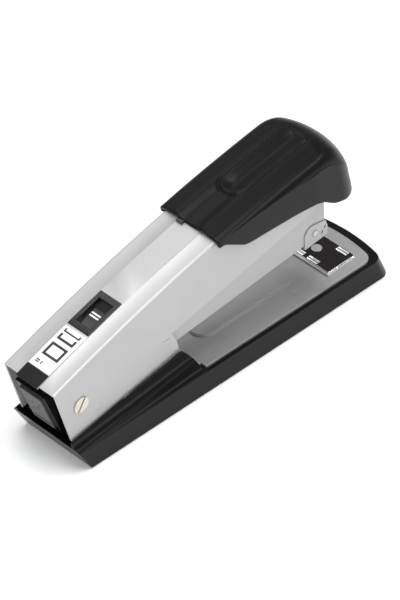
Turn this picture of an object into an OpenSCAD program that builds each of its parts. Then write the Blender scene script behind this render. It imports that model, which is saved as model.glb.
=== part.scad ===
// Desktop stapler: a steel arm with a black front cap over a flared base.
// +X points to the jaw, +Y to the left, +Z up. The origin is on the table
// under the middle of the base rim. Everything is drawn with the jaw open.

/* [Base] */
// Length of the base along its rim
base_length = 165; // [150:1:185]
// Width of the base at the rear
base_rear_w = 37.4; // [36.4:0.2:42]
// Width of the base at the front
base_front_w = 42.6; // [40:0.2:50]
// Height of the base rim
rim_h = 11.6; // [10.6:0.1:12.4]
// Wall of the base shell
base_wall = 2.4; // [1.6:0.1:3]
// How far the rear end leans back beyond the foot
stern_back = 8; // [4:0.5:9]
// How far the foot of the bow reaches ahead of the rim
bow_toe = 5; // [2:0.5:6]
// Radius of the rounded bow in plan
bow_r = 76; // [60:1:120]
// Height of the side shoulders at their front
shoulder_h = 26.4; // [24:0.2:27]
// Where the shoulders drop to the rim, from the middle of the base
shoulder_x = -25; // [-28:0.5:-20]
// Thickness of the rubber sole
sole_t = 1.8; // [1.2:0.1:2.4]
// Thickness of the steel base plate
plate_t = 1.1; // [0.8:0.1:1.4]

/* [Hinge] */
// Hinge axis, from the middle of the base
pivot_x = -84; // [-86:0.5:-82]
// Height of the hinge axis
pivot_z = 32; // [31.5:0.1:33]
// Radius of the hinge axle
axle_r = 2.2; // [1.8:0.1:2.5]
// Radius of the slotted hinge heads
head_r = 3.7; // [3.2:0.1:4.2]
// Rest angle of the magazine
magazine_rise = 3; // [2.8:0.1:3.4]
// Rest angle of the handle
handle_rise = 11; // [10.8:0.1:11.4]
// Running clearance of turning fits, on the radius
run_gap = 0.05; // [0.02:0.01:0.1]

/* [Magazine] */
// Distance from the hinge to the driver blade
driver_r = 140.3; // [138:0.1:142]
// Outside half width of the nose
nose_half = 8.3; // [8.2:0.05:8.6]
// Sheet thickness of the magazine
frame_t = 0.9; // [0.7:0.1:1]
// Outside width of a staple crown
staple_w = 12.8; // [12.4:0.1:12.9]
// Height of a staple
staple_h = 8.5; // [6.5:0.1:8.6]
// Wire width of a staple
staple_wire = 0.7; // [0.5:0.05:0.75]
// Length of the staple strip
strip_len = 38; // [20:1:45]

/* [Anvil] */
// Length of the anvil along the stapler
anvil_l = 17; // [15:0.5:18]
// Width of the anvil across the stapler
anvil_w = 29; // [26:0.5:32]
// Thickness of the anvil
anvil_t = 1.3; // [1:0.1:1.6]
// Distance of each pocket row from the turning axis
row_offset = 6.2; // [5.6:0.1:6.4]
// Lift that frees the anvil for turning
anvil_travel = 1.6; // [1:0.1:1.8]

/* [Handle] */
// Width of the steel top cover
cover_w = 28.8; // [28.6:0.1:29.4]
// Sheet thickness of the cover
cover_t = 1; // [0.8:0.1:1.1]
// Radius of the arched cover top
arch_r = 700; // [600:10:900]
// Height of the arch above the hinge
arch_top = 23; // [22.6:0.1:25]
// Distance of the top of the arch from the hinge
arch_x = 96; // [90:1:100]
// Width of the raised band along the cover
band_w = 12; // [10:0.5:14]
// Depth of the rear skirt below the hinge
skirt_drop = 14.8; // [12:0.1:15.2]
// Length of the cap
cap_len = 76; // [73:0.5:76.5]

/* [Hidden] */
$fn = 48;

eps = 0.01;
half_l = base_length / 2;
plate_z = rim_h + plate_t;
plate_inset = 1.9;
plate_front = half_l - 4.4;
corner_r = 4;
sole_front = half_l + bow_toe - 2;
screw_head_r = 2.8;
screw_head_t = 1.4;
shoulder_in = cover_w / 2 + 0.8;
shoulder_drop_l = 12;
shoulder_slope = 0.177;
fender_angle = 54;
bracket_t = 1;
bracket_floor_t = 1.2;
anvil_x = pivot_x + driver_r + row_offset + 0.6;
anvil_gap = 0.15;
bead_front = anvil_x - norm([anvil_l, anvil_w]) / 2 - 0.2;
anvil_z = plate_z + anvil_gap;
post_r = 2.5;
button_r = 7;
driver_t = 0.6;
nose_x = driver_r + 2.2;
side_gap = 0.17375;
taper = atan((cover_w / 2 - cover_t - side_gap - nose_half) / (nose_x + 6));
bracket_gap = 0.18221;
bracket_out = nose_half + (nose_x - 10.4) * tan(taper) - frame_t - bracket_gap;
web_front = nose_x - 26.5;
cheek_rear = nose_x - 12.5;
cheek_rivet = nose_x - 6.5;
block_len = 22.3;
screw_x = driver_r - block_len - 8;
tray_half = 7.2;
tray_t = 0.6;
tray_floor = -8.6;
tray_front = driver_r + 1.3;
tray_rear = 26;
staple_front = driver_r - 1;
staple_low = tray_floor + tray_t;
staple_high = staple_low + staple_h;
staple_rear = staple_front - strip_len;
rail_half = staple_w / 2 - staple_wire - 0.2;
rail_top = staple_high - 0.7;
pusher_len = 16;
pusher_front = staple_rear - 0.2;
pusher_rear = pusher_front - pusher_len;
pusher_top = staple_high + 0.8;
axle_half = nose_half + (nose_x + 6) * tan(taper) + 0.05;
web_z = 3.4;
cover_front = driver_r - 2.8;
cap_rear = 79.5;
cap_front = cap_rear + cap_len;
bezel_lean = 17.6;
button_travel = 1.8;
latch_x = 14;
latch_z = -1;
rivet_y = 4;
rivet_z = 15;
screw_places = [[-46, 9], [-46, -9], [38, 12], [38, -12]];

steel = "silver";
black = [0.16, 0.15, 0.15];
dark = [0.1, 0.1, 0.1];

// ---- shared frames and shapes ----

// Frame of the magazine: X runs along it from the hinge, Z is square to it.
module on_magazine() {
    translate([pivot_x, 0, pivot_z]) rotate([0, -magazine_rise, 0]) children();
}

// Frame of the handle, which stands steeper than the magazine at rest.
module on_handle() {
    translate([pivot_x, 0, pivot_z]) rotate([0, -handle_rise, 0]) children();
}

// Frame of the slanted rear face: X goes in through it, Z runs up along it.
module on_rear_face() {
    on_magazine() translate([-9, 0, -4.5]) rotate([0, -bezel_lean, 0]) children();
}

// Extrudes an XZ outline between two Y positions.
module side_prism(y0, y1) {
    translate([0, y1, 0]) rotate([90, 0, 0]) linear_extrude(y1 - y0) children();
}

// A bore or a pin along Y.
module y_rod(r, y0, y1) {
    translate([0, y1, 0]) rotate([90, 0, 0]) cylinder(r = r, h = y1 - y0);
}

// A pin along X that starts at the origin.
module x_rod(r, h) {
    rotate([0, 90, 0]) cylinder(r = r, h = h);
}

// A solid through rings of equal point count, in order along its length. Seen
// from the last ring, each one runs counter-clockwise.
module loft(rings) {
    n = len(rings[0]);
    last = len(rings) - 1;
    faces = concat(
        [[for (i = [0:n - 1]) i]],
        [for (k = [0:last - 1], i = [0:n - 1]) [k * n + i, (k + 1) * n + i, (k + 1) * n + (i + 1) % n]],
        [for (k = [0:last - 1], i = [0:n - 1]) [k * n + i, (k + 1) * n + (i + 1) % n, k * n + (i + 1) % n]],
        [[for (i = [n - 1:-1:0]) last * n + i]]);
    polyhedron([for (r = rings) each r], faces);
}

// A wire coil about Z, from z = 0 to z = h.
module coil(r, wire, h, turns, steps = 20, sides = 6) {
    total = turns * steps;
    rings = [for (k = [0:total]) let (a = 360 * k / steps, z = wire + (h - 2 * wire) * k / total)
        [for (s = [0:sides - 1]) let (b = -360 * s / sides, q = r - wire + wire * cos(b))
            [q * cos(a), q * sin(a), z + wire * sin(b)]]];
    loft(rings);
}

// Half width of the base at a distance along it.
function base_half(x) = (base_rear_w + (base_front_w - base_rear_w) * (x + half_l) / base_length) / 2;

// Setback of the rounded bow at a distance from the centre line.
function bow_sag(y) = bow_r - sqrt(bow_r * bow_r - y * y);

// Right half of the base outline, from the rear to the bow.
function base_right(inset, rear, front) = let (w = base_half(half_l) - inset, r = corner_r)
    concat([[rear, -(base_half(rear) - inset)]],
        [for (a = [0:15:90]) let (y = w - r + r * cos(a)) [front - bow_sag(y) - r + r * sin(a), -y]],
        [for (t = [0.8:-0.2:0.2]) let (y = (w - r) * t) [front - bow_sag(y), -y]]);

// Both halves of that outline, which meet at the front.
function base_points(inset, rear, front) = let (right = base_right(inset, rear, front), n = len(right))
    concat(right, [[front, 0]], [for (i = [n - 1:-1:0]) [right[i][0], -right[i][1]]]);

// Outline of the base, moved inwards by inset, from rear to front.
module base_outline(inset, rear, front) {
    polygon(base_points(inset, rear, front));
}

// ---- base ----

// Height of a shoulder's inner edge, with an S-shaped drop at its front.
function shoulder_top(x) =
    let (rise = shoulder_h - shoulder_slope * (shoulder_x - 11 - x),
        t = max(0, min(1, (shoulder_x + shoulder_drop_l / 2 - x) / shoulder_drop_l)),
        s = t * t * (3 - 2 * t))
    rim_h + (min(rise, shoulder_h) - rim_h) * s;

// Left shoulder: its inner edge follows shoulder_top, and a fender slopes from
// there down to the side of the base.
module shoulder() {
    back = -half_l - stern_back - 1;
    front = shoulder_x + shoulder_drop_l / 2;
    bend = front - shoulder_drop_l;
    intersection() {
        side_prism(shoulder_in, base_front_w / 2) polygon(concat(
            [[back, rim_h - 1], [back, shoulder_top(back)]],
            [for (k = [0:12]) let (x = bend + shoulder_drop_l * k / 12) [x, shoulder_top(x)]],
            [[front, rim_h - 1]]));
        linear_extrude(60) base_outline(0.1, back - 1, half_l);
        translate([bend, shoulder_in + 0.6, shoulder_top(bend)])
            rotate([-fender_angle, -atan(shoulder_slope), 0])
                translate([-150, -60, -60]) cube([300, 120, 60]);
    }
}

// Everything behind the leaning rear end.
module stern_cut() {
    side_prism(-40, 40) polygon([[-half_l, 0], [-half_l - stern_back, 14], [-half_l - stern_back, 40],
        [-half_l - 30, 40], [-half_l - 30, -5], [-half_l, -5]]);
}

module base_shell() {
    rear = -half_l - stern_back - 1;
    color(black) difference() {
        union() {
            loft([for (ring = [[0.6, half_l + bow_toe], [rim_h, half_l]])
                [for (p = base_points(0, rear, ring[1])) [p[0], p[1], ring[0]]]]);
            shoulder();
            mirror([0, 1, 0]) shoulder();
            // rear lip between the shoulders
            translate([rear, -shoulder_in - 0.2, rim_h - 1]) cube([4, 2 * shoulder_in + 0.4, 3.4]);
        }
        // recess for the sole, and the hollow above it
        translate([0, 0, -1]) linear_extrude(sole_t + 1)
            base_outline(0.9, -half_l + 0.9, sole_front + 0.1);
        difference() {
            translate([0, 0, -1]) linear_extrude(rim_h - 1.6)
                base_outline(base_wall, -half_l + 1, half_l - base_wall);
            for (x = [-60, -14, 30]) translate([x - 0.8, -30, 0]) cube([1.6, 60, 20]);
            for (p = screw_places) translate([p[0], p[1], 0]) cylinder(r = 3.4, h = 20);
        }
        stern_cut();
        translate([anvil_x, 0, 0]) cylinder(r = post_r + 0.1, h = 30);
        // screw holes, with room for the heads
        for (p = screw_places) translate([p[0], p[1], -1]) {
            cylinder(r = 1.5, h = 30);
            cylinder(r = screw_head_r + 0.1, h = sole_t + screw_head_t + 1);
        }
    }
}

module base_sole() {
    color(dark) difference() {
        linear_extrude(sole_t) base_outline(1, -half_l + 1, sole_front);
        translate([anvil_x, 0, -1]) cylinder(r = button_r + 1, h = 10);
        for (p = screw_places) translate([p[0], p[1], -1]) cylinder(r = 3, h = 10);
    }
}

// A racetrack outline along X.
module racetrack(x0, x1, r) {
    translate([x0 + r, -r]) square([x1 - x0 - 2 * r, 2 * r]);
    translate([x0 + r, 0]) circle(r = r);
    translate([x1 - r, 0]) circle(r = r);
}

module base_plate() {
    open_rear = shoulder_x + shoulder_drop_l / 2 + 0.4;
    color(steel) difference() {
        union() {
            translate([0, 0, rim_h]) linear_extrude(plate_t) intersection() {
                base_outline(plate_inset, -half_l, plate_front);
                translate([open_rear, -40]) square([200, 80]);
            }
            translate([-half_l - 2, -shoulder_in + 0.3, rim_h])
                cube([half_l + 2 + open_rear + eps, 2 * shoulder_in - 0.6, plate_t]);
            // pressed bead that stiffens the plate
            translate([0, 0, plate_z - eps]) linear_extrude(0.5) racetrack(-9.5, bead_front, 6.4);
            translate([0, 0, plate_z - eps]) linear_extrude(0.8) racetrack(-8.9, bead_front - 0.6, 5.8);
        }
        translate([anvil_x, 0, 0]) cylinder(r = post_r + 0.1, h = 30);
        for (p = screw_places) translate([p[0], p[1], 0]) cylinder(r = 1.5, h = 30);
    }
}

module plate_screws() {
    color(steel) for (p = screw_places) translate([p[0], p[1], 0]) {
        translate([0, 0, sole_t]) cylinder(r = screw_head_r, h = screw_head_t);
        difference() {
            translate([0, 0, sole_t - 1.2]) cylinder(r = screw_head_r, h = 1.2 + eps);
            for (a = [0, 90]) translate([0, 0, sole_t - 1.2]) rotate([0, 0, a])
                cube([3.6, 0.8, 1.4], center = true);
        }
        translate([0, 0, sole_t]) cylinder(r = 1.5, h = plate_z - sole_t);
    }
}

module hinge_bracket() {
    ear_in = bracket_out - bracket_t;
    color(steel) difference() {
        union() {
            translate([-80, -bracket_out, plate_z]) cube([30, 2 * bracket_out, bracket_floor_t]);
            for (y = [-bracket_out, ear_in]) side_prism(y, y + bracket_t) {
                polygon([[-82, plate_z], [-50, plate_z], [-50, plate_z + 3], [-64, plate_z + 5],
                    [pivot_x + 5.4, pivot_z], [pivot_x - 5.4, pivot_z], [-88, plate_z + 6]]);
                translate([pivot_x, pivot_z]) circle(r = 5.5);
            }
        }
        translate([pivot_x, 0, pivot_z]) y_rod(axle_r, -20, 20);
        for (x = [-74, -56], y = [-6, 6]) translate([x, y, 0]) cylinder(r = 1.4, h = 30);
    }
}

module bracket_rivets() {
    color(steel) for (x = [-74, -56], y = [-6, 6]) translate([x, y, plate_z]) {
        cylinder(r = 1.4, h = bracket_floor_t);
        translate([0, 0, bracket_floor_t]) cylinder(r1 = 2.4, r2 = 1.4, h = 0.9);
    }
}

module hinge_axle() {
    color(steel) translate([pivot_x, 0, pivot_z]) y_rod(axle_r, -axle_half, axle_half);
}

// A slotted hinge head that fills its hole in the cover.
module hinge_head(slot_angle) {
    difference() {
        y_rod(head_r, -cover_w / 2 - 0.5, -axle_half);
        rotate([0, slot_angle, 0]) translate([0, -cover_w / 2 - 0.5, 0]) cube([20, 1, 0.9], center = true);
    }
}

module hinge_screw() {
    color(steel) translate([pivot_x, 0, pivot_z]) hinge_head(-58);
}

module hinge_nut() {
    color(steel) translate([pivot_x, 0, pivot_z]) mirror([0, 1, 0]) hinge_head(20);
}

// Leaf that pushes the magazine up from the base.
module lift_spring() {
    foot = plate_z + bracket_floor_t;
    tip_x = -42;
    tip_z = 25.3;
    color(steel) side_prism(-8, 8) polygon([[-70, foot], [-61, foot], [-59, foot + 0.6], [tip_x, tip_z - 0.8],
        [tip_x + 3, tip_z - 1.6], [tip_x + 3, tip_z - 0.8], [tip_x, tip_z], [-59.6, foot + 1.4],
        [-61.4, foot + 0.8], [-70, foot + 0.8]]);
}

// ---- anvil ----

module anvil_spring() {
    color(steel) translate([anvil_x, 0, 6.3]) coil(4.6, 0.4, rim_h - 2.6 - 6.35, 2.5, 24, 8);
}

module anvil_button() {
    color(black) translate([anvil_x, 0, 0]) difference() {
        union() {
            translate([0, 0, 1.4]) cylinder(r = button_r, h = 2);
            translate([0, 0, 3.4 - eps]) cylinder(r = 5.2, h = 2.8);
        }
        translate([0, 0, 3.4]) cylinder(r = post_r + run_gap, h = 10);
        translate([0, 0, 0.9]) cylinder(r = 4.5, h = 1);
    }
}

module anvil_post() {
    color(steel) translate([anvil_x, 0, 0]) {
        translate([0, 0, 3.45]) cylinder(r = post_r, h = anvil_z - 3.45);
        translate([0, 0, anvil_z]) cylinder(r = 1.5, h = anvil_t + 0.35);
        difference() {
            translate([0, 0, anvil_z + anvil_t]) cylinder(r = 2.3, h = 0.35);
            translate([0, 0, anvil_z + anvil_t + 0.15]) cylinder(r = 1.1, h = 1);
        }
    }
}

// A clinching pocket: a shallow trough with round ends, along Y.
module anvil_pocket(x, y, len) {
    translate([x, y - len / 2, anvil_t]) rotate([-90, 0, 0]) cylinder(r = 1.1, h = len);
}

module anvil_plate() {
    color("gainsboro") translate([anvil_x, 0, anvil_z]) difference() {
        union() {
            translate([-anvil_l / 2, -anvil_w / 2, 0]) cube([anvil_l, anvil_w, anvil_t - 0.5]);
            translate([-anvil_l / 2 + 0.7, -anvil_w / 2 + 0.7, 0])
                cube([anvil_l - 1.4, anvil_w - 1.4, anvil_t]);
        }
        translate([0, 0, -1]) cylinder(r = 1.5, h = 5);
        for (s = [-1, 1]) {
            anvil_pocket(-row_offset, s * 4, 5.6);
            anvil_pocket(row_offset, s * 8.6, 5.6);
        }
    }
}

// ---- magazine ----

// Places a side sheet of the magazine: side is 1 for left, -1 for right.
module on_side(side) {
    translate([nose_x, side * nose_half, 0]) rotate([0, 0, -side * taper])
        translate([-nose_x, 0, 0]) children();
}

function side_half(x) = nose_half + (nose_x - x) * tan(taper);

module side_outline() {
    polygon([[0, 5.2], [20, 5.2], [web_front, 5.2], [nose_x - 18.5, 10], [nose_x, 10], [nose_x, -2.1],
        [nose_x + 1.2, -5.6], [nose_x + 1.2, -9.8], [nose_x + 0.5, -10.3], [cheek_rear, -10.3],
        [cheek_rear, -8.4], [57, -6.6], [14, -5.6], [0, -5.2]]);
    circle(r = 5.2);
}

module magazine_frame() {
    inner = function (x) side_half(x) - frame_t;
    color(steel) on_magazine() difference() {
        union() {
            on_side(1) side_prism(-frame_t, 0) side_outline();
            on_side(-1) side_prism(0, frame_t) side_outline();
            translate([0, 0, web_z]) linear_extrude(1) polygon([[12, -inner(12) - 0.2],
                [web_front, -inner(web_front) - 0.2], [web_front, inner(web_front) + 0.2],
                [12, inner(12) + 0.2]]);
        }
        y_rod(axle_r + run_gap, -20, 20);
        // notch in the web that the latch swings up into
        translate([11, -3.4, web_z - 1]) cube([13.5, 6.8, 3]);
    }
}

module tray_guides() {
    color(black) on_magazine() for (s = [-1, 1]) {
        y0 = s > 0 ? tray_half + 0.2 : -tray_half - 1;
        translate([40, y0, -8.4]) cube([driver_r - 72.3, 0.8, web_z + 8.4]);
    }
}

// Wings that wrap the nose on the outside.
module cheek_outline() {
    translate([cheek_rear, -10.3]) square([nose_x + 0.6 - cheek_rear, 7]);
    translate([cheek_rear + 4.4, -4.6]) circle(r = 4.4);
    polygon([[cheek_rear, -10.3], [nose_x + 1, -10.3], [nose_x + 1.2, -5.6], [nose_x, -2.1],
        [cheek_rivet, -0.5]]);
}

module nose_cheeks() {
    color(steel) on_magazine() {
        on_side(1) difference() {
            side_prism(0, 0.5) cheek_outline();
            translate([cheek_rivet, 0, -4.9]) y_rod(1.2, -2, 2);
        }
        on_side(-1) difference() {
            side_prism(-0.5, 0) cheek_outline();
            translate([cheek_rivet, 0, -4.9]) y_rod(1.2, -2, 2);
        }
    }
}

module nose_rivets() {
    color(steel) on_magazine() {
        on_side(1) translate([cheek_rivet, 0, -4.9]) y_rod(1.2, 0, 0.9);
        on_side(-1) translate([cheek_rivet, 0, -4.9]) y_rod(1.2, -0.9, 0);
    }
}

module nose_plate() {
    color(steel) on_magazine() translate([driver_r + 1, -nose_half + frame_t, pusher_top + 0.4])
        cube([nose_x - driver_r - 1.2, 2 * (nose_half - frame_t), 10 - pusher_top - 0.4]);
}

module rear_bezel() {
    color(black) {
        on_rear_face() difference() {
            union() {
                translate([0, -8.2, -13.2]) cube([2, 16.4, 26.4]);
                translate([3.6, -10.2, -12]) cube([1.2, 20.4, 23]);
                translate([2 - eps, -8.2, -12]) cube([1.7, 16.4, 23]);
            }
            translate([-1, -6.2, -9.6]) cube([9, 12.4, 20.8]);
        }
        on_magazine() for (s = [-1, 1]) {
            y0 = s > 0 ? 8.6 : -9.8;
            translate([-8, y0, 4.4]) cube([28, 1.2, 2.4]);
        }
    }
}

module latch_pin() {
    reach = side_half(latch_x) - frame_t - 0.1;
    color(steel) on_magazine() translate([latch_x, 0, latch_z]) y_rod(1, -reach, reach);
}

// Coil between the magazine and the handle.
module handle_spring() {
    color(steel) translate([pivot_x + 67, 0, pivot_z + 8.4]) coil(5, 0.5, 26.2, 9, 20, 6);
}

// ---- drawer with its rail ----

module staple_tray() {
    color(steel) on_magazine() {
        // floor and sides, with the sides carried past the driver slot
        difference() {
            translate([tray_rear, -tray_half, tray_floor])
                cube([staple_front - tray_rear, 2 * tray_half, 6.6]);
            translate([tray_rear - 1, -tray_half + tray_t, tray_floor + tray_t])
                cube([200, 2 * (tray_half - tray_t), 10]);
        }
        for (y = [-tray_half, tray_half - tray_t]) translate([staple_front - eps, y, tray_floor])
            cube([tray_front - staple_front + eps, tray_t, 6.6]);
        translate([tray_front - eps, -tray_half, tray_floor - 1])
            cube([1.2, 2 * tray_half, pusher_top - tray_floor + 1]);
        // rear tongue that the latch holds
        translate([tray_rear - 6, -2.5, 0.7]) cube([8, 5, 0.7]);
        translate([tray_rear - 6, -2.5, -1]) cube([1.2, 5, 1.8]);
        translate([tray_rear, -2.5, tray_floor + tray_t - eps]) cube([1.2, 5, 0.7 - tray_floor]);
    }
}

module staple_rail() {
    color(steel) on_magazine() difference() {
        translate([tray_rear + 2, -rail_half, staple_low])
            cube([staple_front - tray_rear - 2, 2 * rail_half, rail_top - staple_low]);
        translate([tray_rear + 1, -rail_half + 0.7, staple_low - 1])
            cube([staple_front - tray_rear, 2 * rail_half - 1.4, rail_top - staple_low + 0.3]);
        translate([tray_rear + 8, -1.1, rail_top - 1]) cube([pusher_front - tray_rear - 7.6, 2.2, 3]);
    }
}

module staple_strip() {
    color("lightgray") on_magazine() difference() {
        translate([staple_rear, -staple_w / 2, staple_low]) cube([strip_len, staple_w, staple_h]);
        translate([staple_rear - 1, -staple_w / 2 + staple_wire, staple_low - 1])
            cube([strip_len + 2, staple_w - 2 * staple_wire, staple_h - 0.6 + 1]);
    }
}

module spring_anchor() {
    color(steel) on_magazine() translate([staple_front - 3, 0, -4.6])
        y_rod(0.8, -rail_half + 0.7, rail_half - 0.7);
}

// Coil that pulls the pusher forward, inside the rail.
module pusher_spring() {
    x0 = pusher_front + 0.6;
    color(steel) on_magazine() translate([x0, 0, -4.6]) rotate([0, 90, 0])
        coil(2.4, 0.35, staple_front - 4.4 - x0, 16, 16, 6);
}

module staple_pusher() {
    gap = 0.2;
    color("gray") on_magazine() {
        difference() {
            translate([pusher_rear, -staple_w / 2, staple_low + 0.2])
                cube([pusher_len, staple_w, pusher_top - staple_low - 0.2]);
            translate([pusher_rear - 1, -rail_half - gap, staple_low - 1])
                cube([pusher_len + 2, 2 * (rail_half + gap), rail_top - staple_low + 1 + gap]);
        }
        translate([pusher_front - 6, -0.9, -6.4]) cube([5, 1.8, rail_top + gap + 6.4 + 0.4]);
    }
}

// ---- release ----

module release_button() {
    color([0.25, 0.25, 0.26]) {
        on_rear_face() {
            translate([-0.9, -6, -9.4]) cube([5.6, 12, 20.4]);
            for (p = [[3.4, 7.6], [1.2, 4.4], [-1.6, 2], [-3.2, 5.4], [0.4, 0], [3, -1.6]])
                translate([-1.1, p[0], p[1]]) x_rod(0.45, 0.3);
        }
        on_magazine() translate([-6.6, -2, 3]) cube([15.4, 4, 1.2]);
    }
}

module release_latch() {
    color(steel) on_magazine() difference() {
        side_prism(-2.8, 2.8) polygon([[9.3, 4.4], [10.3, 4.4], [11.6, 1.2], [14, 1.4], [16.2, 0.2],
            [20.6, -1.8], [21.5, -1.8], [21.5, 0.5], [22.8, 0.5], [22.8, -3.4], [14, -3.4], [11.6, -2.6],
            [9.3, 0]]);
        translate([latch_x, 0, latch_z]) y_rod(1 + run_gap, -10, 10);
    }
}

// ---- handle ----

// A ring sector about the centre of the arch, from a YR cross-section.
module arch_sweep(x0, x1) {
    a0 = acos((x1 - arch_x) / arch_r);
    a1 = acos((x0 - arch_x) / arch_r);
    translate([arch_x, 0, arch_top - arch_r]) rotate([90, 0, 0]) rotate([0, 0, a0])
        rotate_extrude(angle = a1 - a0, $fn = 720) children();
}

// A strip that follows the arch, lifted above it.
module arch_strip(x0, x1, half, low, high) {
    arch_sweep(x0, x1) translate([arch_r + low, -half]) square([high - low, 2 * half]);
}

// Cross-section of the cover: an upturned U with round shoulders.
module cover_section() {
    h = cover_w / 2;
    r = 1.6;
    deep = 46;
    difference() {
        union() {
            translate([arch_r - deep, -h]) square([deep - r, 2 * h]);
            translate([arch_r - r - eps, -h + r]) square([r + eps, 2 * (h - r)]);
            for (s = [-1, 1]) translate([arch_r - r, s * (h - r)]) circle(r = r);
        }
        translate([arch_r - deep - 1, -h + cover_t]) square([deep + 1 - cover_t, 2 * (h - cover_t)]);
    }
}

module cover_outline() {
    polygon([[-12.3, 30], [cover_front, 30], [cover_front, -3.8], [49.6, -3.8], [51.2, -10],
        [51.6, -skirt_drop - 1.6], [50, -skirt_drop - 2], [44, -skirt_drop - 0.6], [-8.1, -skirt_drop]]);
}

window_x0 = 16.6;
window_x1 = 35.6;
window_half = 5.9;

module top_cover() {
    color(steel) on_handle() difference() {
        union() {
            intersection() {
                arch_sweep(-14, cover_front + 1) cover_section();
                side_prism(-20, 20) cover_outline();
            }
            arch_strip(-12, cap_rear + 8, band_w / 2, -0.2, 0.35);
        }
        y_rod(head_r + run_gap, -20, 20);
        translate([window_x0, -window_half, 0]) cube([window_x1 - window_x0, 2 * window_half, 40]);
    }
}

module rear_badge() {
    color(dark) on_handle() arch_strip(-12.3, -5.4, band_w / 2 - 0.1, 0.35, 0.55);
}

module size_label() {
    color("white") on_handle() arch_strip(-5.2, 15.6, band_w / 2 - 0.3, 0.35, 0.5);
}

module window_insert() {
    color(dark) on_handle() difference() {
        arch_strip(window_x0 + 0.1, window_x1 - 0.1, window_half - 0.1, -2.4, 0.6);
        arch_strip(window_x0 + 3, window_x1 - 3, window_half - 2, -1.2, 5);
    }
}

function cap_top(x) = arch_top + 2.9 - (x - arch_x) * (x - arch_x) / (2 * arch_r);

// Side view of the cap, seen along Y.
module cap_side() {
    f = cap_front;
    polygon(concat(
        [for (x = [cap_rear:9.5:cap_front - 17]) [x, cap_top(x)]],
        [[f - 12, 24], [f - 7.5, 20.8], [f - 4, 16], [f - 2, 10], [f - 0.6, 3], [f, -3], [f - 1.6, -6.8],
        [f - 6, -8], [f - 14.5, -5.2], [f - 20.5, 0.6], [f - 25, 3.2], [117, 6.9], [103, 9.8], [96, 11],
        [93, 12], [82.4, 22], [cap_rear, 22.2]]));
}

// Plan of the cap, seen along Z: it widens to a rounded front.
module cap_plan() {
    w0 = 16.4;
    w1 = 18.4;
    r = 5;
    right = concat([[cap_rear, w0], [cap_front - 24, w1]],
        [for (a = [0:15:75]) [cap_front - 2.6 - r + r * sin(a), w1 - r + r * cos(a)]],
        [[cap_front - 1, 9], [cap_front - 0.3, 4.5]]);
    n = len(right);
    polygon(concat(right, [[cap_front, 0]], [for (i = [n - 1:-1:0]) [right[i][0], -right[i][1]]]));
}

// Cross-section of the cap, seen along X: crowned top and round shoulders.
module cap_section() {
    right = concat([[18.4, -10], [18.3, 8], [17.6, 17]],
        [for (a = [15:15:90]) [13 + 4.2 * cos(a), 21 + 4 * sin(a)]], [[6.4, 25.9]]);
    n = len(right);
    polygon(concat(right, [for (i = [n - 1:-1:0]) [-right[i][0], right[i][1]]]));
}

module front_cap() {
    inner = cover_w / 2 + 0.2;
    f = cap_front - 5;
    color(black) on_handle() difference() {
        intersection() {
            side_prism(-20, 20) cap_side();
            translate([0, 0, -10]) linear_extrude(40) cap_plan();
            rotate([90, 0, 90]) linear_extrude(200) cap_section();
        }
        // room for the cover, the driver and the nose
        intersection() {
            arch_sweep(cap_rear - 4, f + 3) translate([arch_r - 45, -inner]) square([45.45, 2 * inner]);
            side_prism(-20, 20) polygon([[cap_rear - 4, -20], [f, -20], [f, 12], [f - 3, 18], [f - 8, 40],
                [cap_rear - 4, 40]]);
            translate([cap_rear - 4, -12, -30]) cube([f + 3, 24, 80]);
        }
        intersection() {
            arch_sweep(cap_rear - 4, f + 3) translate([arch_r - 45, -inner]) square([45.45, 2 * inner]);
            translate([cap_rear - 4, -30, -30]) cube([cover_front + 1 - cap_rear + 4, 60, 80]);
        }
        // groove round the thumb rest
        translate([0, 0, arch_top + 1.9]) linear_extrude(10) difference() {
            racetrack(100, cap_front - 11.5, 5.9);
            racetrack(101.2, cap_front - 12.7, 4.7);
        }
        for (y = [-7, 7]) translate([screw_x, y, 0]) cylinder(r = 1, h = arch_top + 1.4);
    }
}

module cap_clip() {
    color(dark) on_handle() translate([0, 4.2, 0]) arch_strip(cap_rear - 1.6, cap_rear - 0.1, 1.6, 0.35, 1.6);
}

module cap_screws() {
    color(steel) on_handle() for (y = [-7, 7]) translate([screw_x, y, arch_top - cover_t - 1.4]) {
        cylinder(r = 2, h = 1);
    }
}

// Blade curved to the hinge radius, so that it slides in its slot.
module driver_blade() {
    low = asin((pusher_top + 0.4) / driver_r) - handle_rise + magazine_rise;
    high = asin(20 / driver_r);
    color(steel) on_handle() difference() {
        rotate([90, 0, 0]) rotate([0, 0, low]) rotate_extrude(angle = high - low, $fn = 720)
            translate([driver_r - driver_t / 2, -staple_w / 2]) square([driver_t, staple_w]);
        for (y = [-rivet_y, rivet_y]) translate([driver_r - 8, y, rivet_z]) x_rod(0.9, 20);
    }
}

module driver_block() {
    color(black) on_handle() difference() {
        intersection() {
            translate([driver_r - block_len, -9, 11]) cube([block_len - driver_t - 1.6, 18, 14]);
            arch_sweep(driver_r - 40, driver_r) translate([arch_r - 30, -12]) square([30 - cover_t, 24]);
        }
        for (y = [-rivet_y, rivet_y]) translate([driver_r - 6, y, rivet_z]) x_rod(0.9, 20);
    }
}

module driver_rivets() {
    head_x = sqrt(driver_r * driver_r - rivet_z * rivet_z) + driver_t;
    color(steel) on_handle() for (y = [-rivet_y, rivet_y]) {
        translate([driver_r - 6, y, rivet_z]) x_rod(0.9, head_x - driver_r + 6);
        translate([head_x - eps, y, rivet_z]) x_rod(1.6, 0.6);
    }
}

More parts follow.
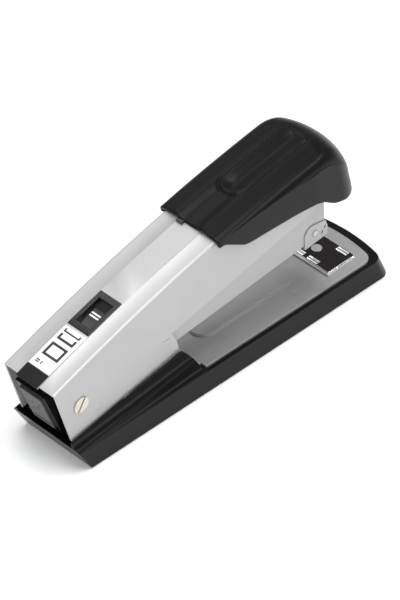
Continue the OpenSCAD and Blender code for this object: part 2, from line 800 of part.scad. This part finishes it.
base_shell();
base_sole();
base_plate();
plate_screws();
hinge_bracket();
bracket_rivets();
hinge_axle();
hinge_screw();
hinge_nut();
lift_spring();
anvil_spring();
anvil_button();
anvil_post();
anvil_plate();
magazine_frame();
tray_guides();
nose_cheeks();
nose_rivets();
nose_plate();
rear_bezel();
latch_pin();
handle_spring();
staple_tray();
staple_rail();
staple_strip();
spring_anchor();
pusher_spring();
staple_pusher();
release_button();
release_latch();
top_cover();
rear_badge();
size_label();
window_insert();
front_cap();
cap_clip();
cap_screws();
driver_blade();
driver_block();
driver_rivets();
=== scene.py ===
# Desktop stapler with a silver painted arm, a black front cap and a moulded black base.
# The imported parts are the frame: every piece below is placed where those parts are, in metres.
import bisect
import bpy
import bmesh
import math
from mathutils import Matrix, Vector


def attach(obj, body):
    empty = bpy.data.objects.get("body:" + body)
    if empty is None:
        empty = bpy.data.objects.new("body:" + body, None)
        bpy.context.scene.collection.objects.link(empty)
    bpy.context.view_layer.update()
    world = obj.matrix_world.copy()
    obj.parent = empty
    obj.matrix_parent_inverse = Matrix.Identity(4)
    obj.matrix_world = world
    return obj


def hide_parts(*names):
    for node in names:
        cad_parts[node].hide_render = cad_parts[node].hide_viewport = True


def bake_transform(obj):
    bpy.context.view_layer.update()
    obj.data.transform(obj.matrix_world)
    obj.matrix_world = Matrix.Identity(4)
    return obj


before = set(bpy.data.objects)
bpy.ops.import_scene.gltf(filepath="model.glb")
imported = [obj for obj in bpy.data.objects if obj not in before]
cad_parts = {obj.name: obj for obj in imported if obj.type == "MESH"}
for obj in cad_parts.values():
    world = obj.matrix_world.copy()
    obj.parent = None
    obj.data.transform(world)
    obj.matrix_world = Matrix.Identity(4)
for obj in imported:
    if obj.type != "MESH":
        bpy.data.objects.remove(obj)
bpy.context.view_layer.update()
scene = bpy.context.scene

# ---- Camera ----
# A long lens looks down on the rear right corner from about five and a half feet, as for a
# catalogue shot, so that the arm runs from the lower left of the frame to the upper right.
view_turn, view_rise = math.radians(-45.03), math.radians(41.07)
to_camera = Vector((math.sin(view_turn) * math.cos(view_rise),
                    -math.cos(view_turn) * math.cos(view_rise), math.sin(view_rise)))
camera_right = Vector((math.cos(view_turn), math.sin(view_turn), 0))
camera_up = to_camera.cross(camera_right)
look_at = Vector((-0.0025, 0, 0.030)) - 0.00141 * camera_right - 0.00265 * camera_up
camera = bpy.data.objects.new("camera", bpy.data.cameras.new("camera"))
camera.data.lens = 250.4
camera.data.clip_end = 20
camera.matrix_world = Matrix.Translation(look_at + 1.6636 * to_camera) @ Matrix(
    (camera_right, camera_up, to_camera)).transposed().to_4x4()
scene.collection.objects.link(camera)
scene.camera = camera
scene.view_settings.view_transform = "Standard"

# ---- Studio ----
# A white room with four softboxes: one along the right side, which shines on the rounded
# edges, one overhead, one behind and one at the rear. White paper lies under the stapler.
room = bpy.data.worlds.new("room")
room.use_nodes = True
room.node_tree.nodes["Background"].inputs["Color"].default_value = (0.98, 0.99, 1, 1)
room.node_tree.nodes["Background"].inputs["Strength"].default_value = 0.42
scene.world = room
for name, place, size, power in (("softbox_right", (0.33, -0.62, 0.85), (0.9, 0.2), 3.4),
                                 ("softbox_top", (-0.15, -0.1, 1.1), (0.7, 0.7), 8.2),
                                 ("softbox_back", (0.3, 0.64, 0.96), (0.6, 0.6), 1.4),
                                 ("softbox_rear", (-0.9, -0.1, 0.5), (0.6, 0.6), 1.8)):
    lamp = bpy.data.lights.new(name, "AREA")
    lamp.shape = "RECTANGLE"
    lamp.size, lamp.size_y = size
    lamp.energy = power
    softbox = bpy.data.objects.new(name, lamp)
    softbox.matrix_world = Matrix.Translation(place) @ (-Vector(place)).to_track_quat(
        "-Z", "Y").to_matrix().to_4x4()
    scene.collection.objects.link(softbox)

paper = bmesh.new()
bmesh.ops.create_grid(paper, x_segments=24, y_segments=24, size=3)
paper_mesh = bpy.data.meshes.new("paper_sweep")
paper.to_mesh(paper_mesh)
paper.free()
floor = bpy.data.objects.new("paper_sweep", paper_mesh)
scene.collection.objects.link(floor)
floor_paint = bpy.data.materials.new("white_paper")
floor_paint.use_nodes = True
floor_paint.node_tree.nodes["Principled BSDF"].inputs["Base Color"].default_value = (0.93, 0.93, 0.93, 1)
floor_paint.node_tree.nodes["Principled BSDF"].inputs["Roughness"].default_value = 0.9
floor_paint.node_tree.nodes["Principled BSDF"].inputs["Emission Color"].default_value = (1, 1, 1, 1)
floor_paint.node_tree.nodes["Principled BSDF"].inputs["Emission Strength"].default_value = 0.12
paper_mesh.materials.append(floor_paint)

# ---- Base shell ----
# The foot and both shoulders are one moulding in black ABS with a fine satin grain. Its outer
# corners are rounded by the mould, and the bow slopes out towards the table.
mm = 0.001


def finish(name, low, high, rough, grain=0.5, metal=0.0, bump=0.05, stretch=(1, 1, 1), shine=0.5):
    """A paint, moulding or metal whose colour and gloss wander a little over a grain in mm."""
    paint = bpy.data.materials.new(name)
    paint.use_nodes = True
    nodes, links = paint.node_tree.nodes, paint.node_tree.links
    shader = nodes["Principled BSDF"]
    shader.inputs["Metallic"].default_value = metal
    shader.inputs["Specular IOR Level"].default_value = shine
    spot = nodes.new("ShaderNodeTexCoord")
    turn = nodes.new("ShaderNodeMapping")
    turn.inputs["Scale"].default_value = [1000 / grain / s for s in stretch]
    links.new(spot.outputs["Object"], turn.inputs["Vector"])
    fine = nodes.new("ShaderNodeTexNoise")
    fine.inputs["Scale"].default_value = 1
    fine.inputs["Detail"].default_value = 6
    links.new(turn.outputs["Vector"], fine.inputs["Vector"])
    cloud = nodes.new("ShaderNodeTexNoise")
    cloud.inputs["Scale"].default_value = 45
    cloud.inputs["Detail"].default_value = 4
    links.new(spot.outputs["Object"], cloud.inputs["Vector"])
    both = nodes.new("ShaderNodeMix")
    both.inputs["Factor"].default_value = 0.35
    links.new(fine.outputs["Fac"], both.inputs["A"])
    links.new(cloud.outputs["Fac"], both.inputs["B"])
    tone = nodes.new("ShaderNodeValToRGB")
    tone.color_ramp.elements[0].position = 0.3
    tone.color_ramp.elements[1].position = 0.7
    tone.color_ramp.elements[0].color = (*low, 1)
    tone.color_ramp.elements[1].color = (*high, 1)
    links.new(both.outputs["Result"], tone.inputs["Fac"])
    links.new(tone.outputs["Color"], shader.inputs["Base Color"])
    gloss = nodes.new("ShaderNodeMapRange")
    gloss.inputs["To Min"].default_value = rough[0]
    gloss.inputs["To Max"].default_value = rough[1]
    links.new(both.outputs["Result"], gloss.inputs["Value"])
    links.new(gloss.outputs["Result"], shader.inputs["Roughness"])
    relief = nodes.new("ShaderNodeBump")
    relief.inputs["Strength"].default_value = bump
    relief.inputs["Distance"].default_value = 0.05 * mm
    links.new(fine.outputs["Fac"], relief.inputs["Height"])
    links.new(relief.outputs["Normal"], shader.inputs["Normal"])
    return paint


def rounded_copy(node, radius, segments=3, sharpest=35, above=-1.0):
    """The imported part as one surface, with its outer corners rounded above a height."""
    shape = bmesh.new()
    shape.from_mesh(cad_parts[node].data)
    bmesh.ops.remove_doubles(shape, verts=shape.verts, dist=2e-6)
    bmesh.ops.dissolve_limit(shape, angle_limit=math.radians(0.3), verts=shape.verts, edges=shape.edges)
    corners = [e for e in shape.edges if e.is_manifold and e.is_convex
               and e.calc_face_angle(0) > math.radians(sharpest) and min(v.co.z for v in e.verts) > above]
    if radius:
        bmesh.ops.bevel(shape, geom=corners, offset=radius, offset_type="OFFSET", segments=segments,
                        profile=0.5, affect="EDGES", material=-1, clamp_overlap=True)
    return shape


def fit(name, shape, paint, body, *nodes, sharpest=38):
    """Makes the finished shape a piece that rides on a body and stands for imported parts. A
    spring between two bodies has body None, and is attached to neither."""
    mesh = bpy.data.meshes.new(name)
    shape.to_mesh(mesh)
    shape.free()
    mesh.shade_smooth()
    mesh.set_sharp_from_angle(angle=math.radians(sharpest))
    mesh.materials.append(paint)
    made = bpy.data.objects.new(name, mesh)
    scene.collection.objects.link(made)
    if body:
        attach(made, body)
    if nodes:
        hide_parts(*nodes)
        made.modifiers.new("even_shading", "WEIGHTED_NORMAL").keep_sharp = True
    return made


def dress(paint, *nodes):
    """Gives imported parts, whose shape is already right, a finish."""
    for node in nodes:
        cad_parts[node].data.materials.clear()
        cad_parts[node].data.materials.append(paint)


black_abs = finish("black_abs", (0.0035, 0.0031, 0.003), (0.006, 0.0054, 0.0051), (0.24, 0.34),
                   grain=0.35, bump=0.12,
                   shine=0.12)
shell = rounded_copy("base_shell", 0)
fender_foot = [e for e in shell.edges if e.is_manifold
               and math.radians(20) < e.calc_face_angle(0) < math.radians(70)
               and all(abs(v.co.y) > 0.0172 and 0.0122 < v.co.z for v in e.verts)
               and e.calc_length() > 0.01]
bmesh.ops.bevel(shell, geom=fender_foot, offset=2.2 * mm, offset_type="OFFSET", segments=6, profile=0.5,
                affect="EDGES", material=-1, clamp_overlap=True)
rim_edges = [e for e in shell.edges if e.is_manifold and e.is_convex
             and e.calc_face_angle(0) > math.radians(35)
             and min(v.co.z for v in e.verts) > 0.002]
bmesh.ops.bevel(shell, geom=rim_edges, offset=0.8 * mm, offset_type="OFFSET", segments=4, profile=0.5,
                affect="EDGES", material=-1, clamp_overlap=True)
fit("shell_moulding", shell, black_abs, "base", "base_shell")

# ---- Sole ----
# A soft rubber sheet glued into the foot, which stops the stapler sliding.
rubber = finish("sole_rubber", (0.011, 0.011, 0.011), (0.02, 0.02, 0.02), (0.7, 0.9), grain=0.8, bump=0.3)
dress(rubber, "base_sole")

# ---- Base plate ----
# Satin sheet steel, pressed with one long bead that stiffens it, laid into the shell. Its cut
# edge is rounded by the press.
satin_steel = finish("satin_steel", (0.4, 0.4, 0.405), (0.49, 0.49, 0.495), (0.36, 0.46), grain=0.5,
                     metal=0.7, bump=0.03, stretch=(12, 1, 1))
plate = rounded_copy("base_plate", 0.3 * mm, segments=3, above=0.0118)
fit("plate_pressing", plate, satin_steel, "base", "base_plate")

# ---- Screws, bracket and rivets of the base ----
# Zinc-plated sheet and screws hold the hinge to the base.
zinc = finish("bright_zinc", (0.5, 0.5, 0.49), (0.68, 0.68, 0.67), (0.22, 0.38), grain=0.6, metal=1.0,
              bump=0.06)
dress(satin_steel, "plate_screws")
dress(zinc, "bracket_rivets", "hinge_axle")
bracket = rounded_copy("hinge_bracket", 0.2 * mm, segments=2)
fit("bracket_pressing", bracket, zinc, "base", "hinge_bracket")

# ---- Hinge heads ----
# A slotted screw and its nut, turned and nickel plated, close the axle at either side.
nickel = finish("warm_nickel", (0.56, 0.52, 0.45), (0.74, 0.7, 0.63), (0.18, 0.32), grain=0.4, metal=1.0,
                bump=0.06, stretch=(1, 8, 1))
for node, name in (("hinge_screw", "screw_head"), ("hinge_nut", "nut_head")):
    fit(name, rounded_copy(node, 0.28 * mm, segments=3, sharpest=50), nickel, "base", node)

# ---- Anvil ----
# A chromed clinching plate on a post. The post is pushed up by its button under the foot and
# half a turn swaps the two rows of pockets.
chrome = finish("mirror_chrome", (0.8, 0.79, 0.79), (0.92, 0.91, 0.91), (0.05, 0.12), grain=1.5,
                metal=1.0, bump=0.02)
# A dark copy of the chrome for the plate's flat top: a painted dark reflection standing in for the dark room
# mirrored in real chrome.
chrome_painted_dark_reflection = finish("chrome_painted_dark_reflection", (0.035, 0.03, 0.03), (0.07, 0.062, 0.06), (0.06, 0.14), grain=1.2,
                     metal=1.0,
                     bump=0.03)
anvil = rounded_copy("anvil_plate", 0.12 * mm, segments=2)
# The flat top faces take the painted dark reflection; the bevels and pockets keep the bright chrome.
for face in anvil.faces:
    face.material_index = 1 if face.normal.z > 0.99 and face.calc_center_median().z > 0.0139 else 0
plated = fit("anvil_chrome", anvil, chrome, "anvil", "anvil_plate")
plated.data.materials.append(chrome_painted_dark_reflection)
fit("anvil_rivet", rounded_copy("anvil_post", 0.12 * mm, segments=2), chrome, "anvil", "anvil_post")
dress(black_abs, "anvil_button")

# ---- Springs ----
# Round spring wire wound into coils, and one leaf that lifts the magazine off the base.
spring_wire = finish("spring_wire", (0.3, 0.3, 0.31), (0.5, 0.5, 0.51), (0.2, 0.32), grain=0.5, metal=1.0,
                     bump=0.04)


def wound(base, along, radius, wire, height, turns):
    """A coil of round wire that climbs from base along a direction."""
    shape = bmesh.new()
    ring = bmesh.ops.create_circle(shape, segments=10, radius=wire * mm)["verts"]
    bmesh.ops.rotate(shape, verts=ring, matrix=Matrix.Rotation(math.pi / 2, 3, "X"))
    bmesh.ops.translate(shape, verts=ring, vec=((radius - wire) * mm, 0, wire * mm))
    bmesh.ops.spin(shape, geom=ring + list(shape.edges), cent=(0, 0, 0), axis=(0, 0, 1),
                   dvec=(0, 0, (height - 2 * wire) * mm / (turns * 24)),
                   angle=2 * math.pi * turns, steps=int(turns * 24), use_merge=False)
    ends = [e for e in shape.edges if e.is_boundary]
    bmesh.ops.holes_fill(shape, edges=ends)
    bmesh.ops.recalc_face_normals(shape, faces=shape.faces)
    shape.transform(Matrix.Translation(base) @ Vector(along).to_track_quat("Z", "X").to_matrix().to_4x4())
    return shape


anvil_coil = wound((0.0631, 0, 0.0063), (0, 0, 1), 4.6, 0.4, 2.65, 2.5)
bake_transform(fit("anvil_coil", anvil_coil, spring_wire, None, "anvil_spring"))
handle_coil = wound((-0.017, 0, 0.0404), (0, 0, 1), 5, 0.5, 26.2, 9)
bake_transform(fit("handle_coil", handle_coil, spring_wire, None, "handle_spring"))
lift_leaf = rounded_copy("lift_spring", 0.15 * mm, segments=2)
bmesh.ops.subdivide_edges(lift_leaf, edges=[e for e in lift_leaf.edges if e.calc_length() > 0.01], cuts=6,
                          use_grid_fill=True)
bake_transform(fit("lift_leaf", lift_leaf, spring_wire, None, "lift_spring"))

# ---- Magazine ----
# Folded sheet steel with the same silver lacquer as the arm. It carries the drawer between
# black moulded guides, and turns on the axle.
silver_lacquer = finish("silver_lacquer", (0.44, 0.44, 0.44), (0.51, 0.51, 0.51), (0.36, 0.48), grain=0.22,
                        metal=0.3, bump=0.1)
rise = math.radians(3)
magazine_place = Matrix.Translation((-0.084, 0, 0.032)) @ Matrix.Rotation(-rise, 4, "Y") @ Matrix.Scale(mm, 4)
fit("magazine_sheet", rounded_copy("magazine_frame", 0.2 * mm, segments=2), silver_lacquer, "magazine",
    "magazine_frame")
dress(black_abs, "tray_guides")
dress(silver_lacquer, "nose_plate")
dress(zinc, "latch_pin")

# ---- Nose cheeks ----
# Two wings riveted to the nose. Each rivet is sunk in a round dimple, and two short slots
# behind the front edge let the drawer's sides through.
cheeks = rounded_copy("nose_cheeks", 0.16 * mm, segments=2)
fit("nose_wings", cheeks, silver_lacquer, "magazine", "nose_cheeks")
dress(zinc, "nose_rivets")
# Thin dark boxes on each wing stand for the two slots: painted shadow where the openings would show dark.
slot_shadow_paint = finish("slot_shadow", (0.006, 0.006, 0.006), (0.012, 0.012, 0.012), (0.5, 0.7), grain=0.3,
                    bump=0.1)
side_turn = math.radians(1.9)
for side in (-1, 1):
    # The slots are not cut; these boxes carry the painted slot shadow.
    slots = bmesh.new()
    for ahead, low, tall in ((140.4, -7.2, 1.7), (142.0, -5.4, 1.5)):
        slot = bmesh.ops.create_cube(slots, size=1)["verts"]
        bmesh.ops.scale(slots, verts=slot, vec=(0.55, 0.16, tall))
        bmesh.ops.rotate(slots, verts=slot, matrix=Matrix.Rotation(math.radians(18), 3, "Y"))
        bmesh.ops.translate(slots, verts=slot, vec=(ahead - 142.5, 0.5 * side, low))
    bmesh.ops.bevel(slots, geom=slots.edges, offset=0.06, segments=2, profile=0.5, affect="EDGES",
                    material=-1)
    slots.transform(magazine_place @ Matrix.Translation((142.5, side * 8.3, 0))
                    @ Matrix.Rotation(-side * side_turn, 4, "Z"))
    fit("nose_slot_shadows_" + ("right" if side < 0 else "left"), slots, slot_shadow_paint, "magazine")
    dimple = bmesh.new()
    rings = [[dimple.verts.new((r * math.cos(a), side * out, r * math.sin(a)))
              for a in (math.radians(11.25 * n) for n in range(32))]
             for r, out in ((1.9, 0.0), (1.52, 0.14), (1.19, -0.1), (0.6, -0.2))]
    for outer, inner in zip(rings, rings[1:]):
        for n in range(32):
            dimple.faces.new((outer[n], outer[(n + 1) % 32], inner[(n + 1) % 32], inner[n]))
    dimple.faces.new(rings[-1])
    dimple.transform(magazine_place @ Matrix.Translation((142.5, side * 8.3, 0))
                     @ Matrix.Rotation(-side * side_turn, 4, "Z")
                     @ Matrix.Translation((-6.5, side * 0.58, -4.9)))
    bmesh.ops.recalc_face_normals(dimple, faces=dimple.faces)
    fit("rivet_dimple_" + ("right" if side < 0 else "left"), dimple, silver_lacquer, "magazine")

# ---- Rear face ----
# A black moulded frame closes the rear of the magazine round the grey release button, which
# has a spark-eroded texture and a few raised dots for the thumb.
bezel = rounded_copy("rear_bezel", 0.45 * mm, segments=3)
fit("bezel_moulding", bezel, black_abs, "magazine", "rear_bezel")
button_grey = finish("button_grey", (0.04, 0.04, 0.042), (0.075, 0.075, 0.078), (0.42, 0.6), grain=0.45,
                     bump=0.5)
press = rounded_copy("release_button", 0.35 * mm, segments=3)
fit("button_moulding", press, button_grey, "button", "release_button")
rear_face = magazine_place @ Matrix.Translation((-9, 0, -4.5)) @ Matrix.Rotation(-math.radians(17.6), 4, "Y")
ridge = bmesh.new()
bmesh.ops.create_cube(ridge, size=1)
bmesh.ops.scale(ridge, verts=ridge.verts, vec=(0.5, 10.4, 1.3))
bmesh.ops.bevel(ridge, geom=ridge.edges, offset=0.22, segments=3, profile=0.5, affect="EDGES", material=-1)
ridge.transform(rear_face @ Matrix.Translation((-0.95, 0, -7.6)))
fit("button_ridge", ridge, button_grey, "button")

# ---- Drawer ----
# A plated steel tray slides out of the front with the rail that the staples ride on. A spring
# inside the rail pulls the pusher against them.
fit("drawer_tray", rounded_copy("staple_tray", 0.15 * mm, segments=2), zinc, "drawer", "staple_tray")
fit("drawer_rail", rounded_copy("staple_rail", 0.15 * mm, segments=2), zinc, "drawer", "staple_rail")
dress(zinc, "spring_anchor", "release_latch")
pusher_steel = finish("pusher_steel", (0.25, 0.25, 0.26), (0.38, 0.38, 0.39), (0.3, 0.45), grain=0.5,
                      metal=0.9,
                      bump=0.06)
fit("pusher_block", rounded_copy("staple_pusher", 0.25 * mm, segments=2), pusher_steel, "pusher",
    "staple_pusher")
rail_coil = wound(magazine_place @ Vector((101.7, 0, -4.6)), (math.cos(rise), 0, math.sin(rise)),
                  2.4, 0.35, 33.2, 16)
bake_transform(fit("rail_coil", rail_coil, spring_wire, None, "pusher_spring"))

# ---- Staples ----
# A strip of fifty galvanised wire staples glued side by side, so its back and sides show one
# fine groove between each wire and the next.
crown_half, leg_foot, crown_top, wire, pitch = 6.4, -8.0, 0.5, 0.68, 0.76
strip = bmesh.new()
bend = [(crown_half, crown_top - 0.6), (crown_half - 0.18, crown_top - 0.18), (crown_half - 0.6, crown_top)]
outside = [(crown_half, leg_foot)] + bend + [(-y, z) for y, z in reversed(bend)] + [(-crown_half, leg_foot)]
inside = [(-crown_half + wire, leg_foot), (-crown_half + wire, crown_top - wire),
          (crown_half - wire, crown_top - wire), (crown_half - wire, leg_foot)]
strip.faces.new([strip.verts.new((101.32, y, z)) for y, z in outside + inside])
grown = bmesh.ops.extrude_face_region(strip, geom=strip.faces[:])["geom"]
bmesh.ops.translate(strip, verts=[v for v in grown if isinstance(v, bmesh.types.BMVert)],
                    vec=(pitch - 0.02, 0, 0))
ends = [e for e in strip.edges if abs(e.verts[0].co.x - e.verts[1].co.x) < 1e-6]
bmesh.ops.bevel(strip, geom=ends, offset=0.13, segments=1, profile=0.5, affect="EDGES", material=-1)
bmesh.ops.recalc_face_normals(strip, faces=strip.faces)
one_staple = strip.verts[:] + strip.edges[:] + strip.faces[:]
for n in range(1, 50):
    copy = bmesh.ops.duplicate(strip, geom=one_staple)["geom"]
    bmesh.ops.translate(strip, verts=[v for v in copy if isinstance(v, bmesh.types.BMVert)],
                        vec=(n * pitch, 0, 0))
strip.transform(magazine_place)
staple_wire = finish("staple_wire", (0.55, 0.55, 0.56), (0.72, 0.72, 0.73), (0.2, 0.34), grain=0.4,
                     metal=1.0, bump=0.05)
fit("staple_wires", strip, staple_wire, "drawer", "staple_strip")

# ---- Arm ----
# The top cover is folded from sheet steel and lacquered silver. Its back is arched and has one
# raised band, its sides carry a lanced tab and a round dimple by the hinge.
lift = math.radians(11)
handle_place = Matrix.Translation((-0.084, 0, 0.032)) @ Matrix.Rotation(-lift, 4, "Y") @ Matrix.Scale(mm, 4)
cover = rounded_copy("top_cover", 0)
fit("cover_sheet", cover, silver_lacquer, "handle", "top_cover", sharpest=30)
for side in (-1, 1):
    hand = "right" if side < 0 else "left"
    tab = bmesh.new()
    bmesh.ops.create_cube(tab, size=1)
    bmesh.ops.scale(tab, verts=tab.verts, vec=(6.4, 0.5, 1.2))
    bmesh.ops.bevel(tab, geom=tab.edges, offset=0.24, segments=3, profile=0.5, affect="EDGES", material=-1)
    bmesh.ops.translate(tab, verts=[v for v in tab.verts if v.co.x > 0], vec=(0, side * 0.22, 0))
    tab.transform(handle_place @ Matrix.Translation((44.7, side * 14.35, -5.4))
                  @ Matrix.Rotation(math.radians(9), 4, "Y"))
    fit("lanced_tab_" + hand, tab, silver_lacquer, "handle")
    boss = bmesh.new()
    bmesh.ops.create_uvsphere(boss, u_segments=28, v_segments=14, radius=2.1)
    bmesh.ops.scale(boss, verts=boss.verts, vec=(0.62, 0.12, 1))
    boss.transform(handle_place @ Matrix.Translation((7.1, side * 14.36, -8.5))
                   @ Matrix.Rotation(math.radians(-25), 4, "Y"))
    fit("side_dimple_" + hand, boss, silver_lacquer, "handle")

# ---- Badge, label and window ----
# A blank glossy black badge, a white foil label with a plain sheet and staple symbol, and the
# black dished window insert between them and the arm.
gloss_black = finish("gloss_black", (0.006, 0.006, 0.006), (0.012, 0.012, 0.012), (0.1, 0.2), grain=2.0,
                     bump=0.02)
fit("badge_foil", rounded_copy("rear_badge", 0.07 * mm, segments=2), gloss_black, "handle", "rear_badge")
white_foil = finish("white_foil", (0.78, 0.78, 0.78), (0.86, 0.86, 0.86), (0.3, 0.42), grain=1.2, bump=0.03)
fit("label_foil", rounded_copy("size_label", 0.05 * mm, segments=2), white_foil, "handle", "size_label")
fit("window_moulding", rounded_copy("window_insert", 0.22 * mm, segments=3), gloss_black, "handle",
    "window_insert")
print_black = finish("print_black", (0.012, 0.012, 0.012), (0.03, 0.03, 0.03), (0.35, 0.5), grain=0.4,
                     bump=0.04)
marks = bmesh.new()
arch = 700.0


def printed(x0, x1, y0, y1, above=0.52):
    """A printed bar on the arched back, between two distances from the hinge."""
    grid = bmesh.ops.create_grid(marks, x_segments=6, y_segments=1, size=0.5)["verts"]
    for v in grid:
        x, y = x0 + (v.co.x + 0.5) * (x1 - x0), y0 + (v.co.y + 0.5) * (y1 - y0)
        v.co = (x, y, 23 + above - (x - 96) ** 2 / (2 * arch))


# a square sheet outline, two stacked staples beside it, and a short tick
for bar in ((0.6, 1.7, -4.3, 4.3), (6.0, 7.1, -4.3, 4.3), (1.7, 6.0, -4.3, -3.1), (1.7, 6.0, 3.1, 4.3),
            (9.0, 10.1, -4.3, 4.3), (10.1, 12.0, -4.3, -3.2), (10.1, 12.0, 3.2, 4.3),
            (12.9, 13.6, -4.3, 4.3), (13.6, 14.6, -4.3, -3.5), (13.6, 14.6, 3.5, 4.3),
            (-3.4, -2.9, 2.2, 4.2), (-2.5, -2.0, 2.2, 4.2), (-3.4, -2.0, 0.9, 1.4)):
    printed(*bar)
marks.transform(handle_place)
fit("label_print", marks, print_black, "handle")
marks = bmesh.new()
printed(25.0, 25.7, -2.4, 2.4, above=-1.16)
printed(26.4, 27.1, -2.4, 2.4, above=-1.16)
marks.transform(handle_place)
fit("window_print", marks, white_foil, "handle")

# ---- Front cap ----
# One deep moulding in satin black ABS, about 1.5 mm thick, that snaps over the front of the
# arm. A shallow trough runs up its back into a dished thumb rest with a rolled rim.
cap_back, cap_corner = 79.5, 133.0
half_rear, half_front = 16.4, 18.4
side_run = 64.9
corner_start, corner_w, corner_l = 13.4, 5, 6
front_reach, front_bow = 156.0, 4.4
nose_run, nose_height = 16, 24
shoulder_w, shoulder_height = 5.4, 5
cap_peak = 25.84
steep = 0.985
column_count, row_count = 220, 96


def eased(low, high, value):
    t = max(0.0, min(1.0, (value - low) / (high - low)))
    return t * t * (3 - 2 * t)


def between(table, x):
    """Reads a smooth curve that passes through the points of a table."""
    if x <= table[0][0]:
        return table[0][1]
    for (x0, y0), (x1, y1) in zip(table, table[1:]):
        if x <= x1:
            return y0 + (y1 - y0) * (x - x0) / (x1 - x0)
    return table[-1][1]


side_edge = [(79.5, 21.1), (82.4, 20.6), (84.5, 18.9), (91.5, 12.7), (93.5, 11.8), (96, 11.1), (103, 9.8),
             (117, 6.9), (125, 4.9), (130.5, 3.2), (134, 1.2), (137, -1.9), (139.5, -4.2), (142, -5.6),
             (145, -6.9),
             (148, -7.7), (150, -7.9)]
outline_rest = (100.0, 144.5, 5.7)


def rest_distance(x, y):
    """Distance outside the rim of the thumb rest, negative inside."""
    rear, front, r = outline_rest
    ahead = max(rear + r - x, 0.0, x - (front - r))
    return math.hypot(ahead, y) - r


def tip(y):
    """How far the bowed front reaches at a distance from the middle."""
    return front_reach - front_bow * (abs(y) / 16.5) ** 2.2


# the plan outline, up one side, round the front and back down the other, in even steps
outline = [(cap_back + side_run * n / 60,
            -half_rear - (half_front - half_rear) * min(1.0, side_run * n / 60 / 52)) for n in range(60)]
outline += [(tip(corner_start + corner_w * math.cos(a)) - corner_l * (1 - math.sin(a)),
             -corner_start - corner_w * math.cos(a))
            for a in (math.radians(6 * n) for n in range(15))]
outline += [(tip(y), y) for y in (-corner_start + 0.67 * n for n in range(20))]
outline += [(tip(0), 0.0)] + [(x, -y) for x, y in reversed(outline)]
walked = [0.0]
for (x0, y0), (x1, y1) in zip(outline, outline[1:]):
    walked.append(walked[-1] + math.hypot(x1 - x0, y1 - y0))


def rim_point(run):
    """The point of the outline at a share of its length."""
    far = run * walked[-1]
    n = min(bisect.bisect_right(walked, far), len(walked) - 1) - 1
    part = (far - walked[n]) / (walked[n + 1] - walked[n])
    return Vector(outline[n]).lerp(Vector(outline[n + 1]), part)


cap = bmesh.new()
bmesh.ops.create_grid(cap, x_segments=column_count, y_segments=row_count, size=0.5)
for v in cap.verts:
    run, deep = v.co.x + 0.5, v.co.y + 0.5
    rim = rim_point(run)
    centre = Vector((min(rim.x, cap_corner), 0))
    ahead = ((rim.x - centre.x) / (rim - centre).length) ** 1.2
    # down the section: the flat back, a rounded shoulder, then the skirt
    back_share, shoulder_share = 0.5, 0.24
    side_roll, front_roll = 5.2 / half_front, nose_run / (front_reach - cap_corner)
    roll = side_roll + (front_roll - side_roll) * ahead
    skirt = max(0.0, (deep - back_share - shoulder_share) / (1 - back_share - shoulder_share))
    rounded = 1 - 0.03 * roll
    if deep < back_share:
        out = (1 - roll) * deep / back_share
    elif skirt == 0:
        out = 1 - roll + (rounded - 1 + roll) * math.sin(math.pi / 2 * (deep - back_share) / shoulder_share)
    else:
        out = rounded + (1 - rounded) * eased(0, 0.8, skirt)
    x, y = centre.lerp(rim, out)
    nose = min(1.0, max(0.0, (x - tip(y) + nose_run) / (nose_run * steep)))
    shoulder = min(1.0, max(0.0, (abs(y) - half_front + shoulder_w) / (shoulder_w * 0.92)))
    fall = (nose_height * (1 - math.sqrt(1 - nose ** 2))
            + shoulder_height * (1 - math.sqrt(1 - shoulder ** 2)))
    crown = 1.1 * eased(6.2, 15, abs(y)) * (1 - eased(136, 148, x))
    top = cap_peak - (x - 96) ** 2 / (2 * arch) - crown
    foot = between(side_edge, rim.x)
    z = top - min(fall, max(top - foot, 0.3))
    z += (foot - z) * skirt
    # the middle of the back sinks into a trough that leads to the thumb rest
    gap = rest_distance(x, y)
    fade = 1 - eased(136, 146, x)
    trough = 1.3 * (1 - eased(2.0, 7.4, abs(y))) * (1 - eased(94, 110, x)) * (1 - skirt)
    dish = 1.3 * (1 - eased(-5.7, -0.2, gap))
    rolled = 0.3 * math.exp(-((gap + 0.2) / 0.5) ** 2) - 0.6 * math.exp(-((gap - 0.8) / 0.5) ** 2)
    z += (rolled - dish) * fade - trough
    v.co = (x, y, z)
bmesh.ops.remove_doubles(cap, verts=cap.verts, dist=1e-4)
bmesh.ops.recalc_face_normals(cap, faces=cap.faces)
if sum(f.normal.z for f in cap.faces) < 0:
    bmesh.ops.reverse_faces(cap, faces=cap.faces)
cap.transform(handle_place)
satin_abs = finish("satin_abs", (0.004, 0.0034, 0.0031), (0.0068, 0.0058, 0.0053), (0.27, 0.36),
                   grain=0.3, bump=0.1,
                   shine=0.15)
cap_piece = fit("cap_moulding", cap, satin_abs, "handle", "front_cap", sharpest=60)
wall = cap_piece.modifiers.new("wall", "SOLIDIFY")
wall.thickness = 1.5 * mm
wall.offset = -1
wall.use_quality_normals = True
cap_piece.modifiers.move(1, 0)
dress(gloss_black, "cap_clip")
dress(zinc, "cap_screws")

# ---- Driver ----
# A hardened blade riveted to a moulded block under the front of the cover. It is curved to the
# hinge radius, so that it slides straight down its slot.
dress(zinc, "driver_blade", "driver_rivets")
dress(black_abs, "driver_block")
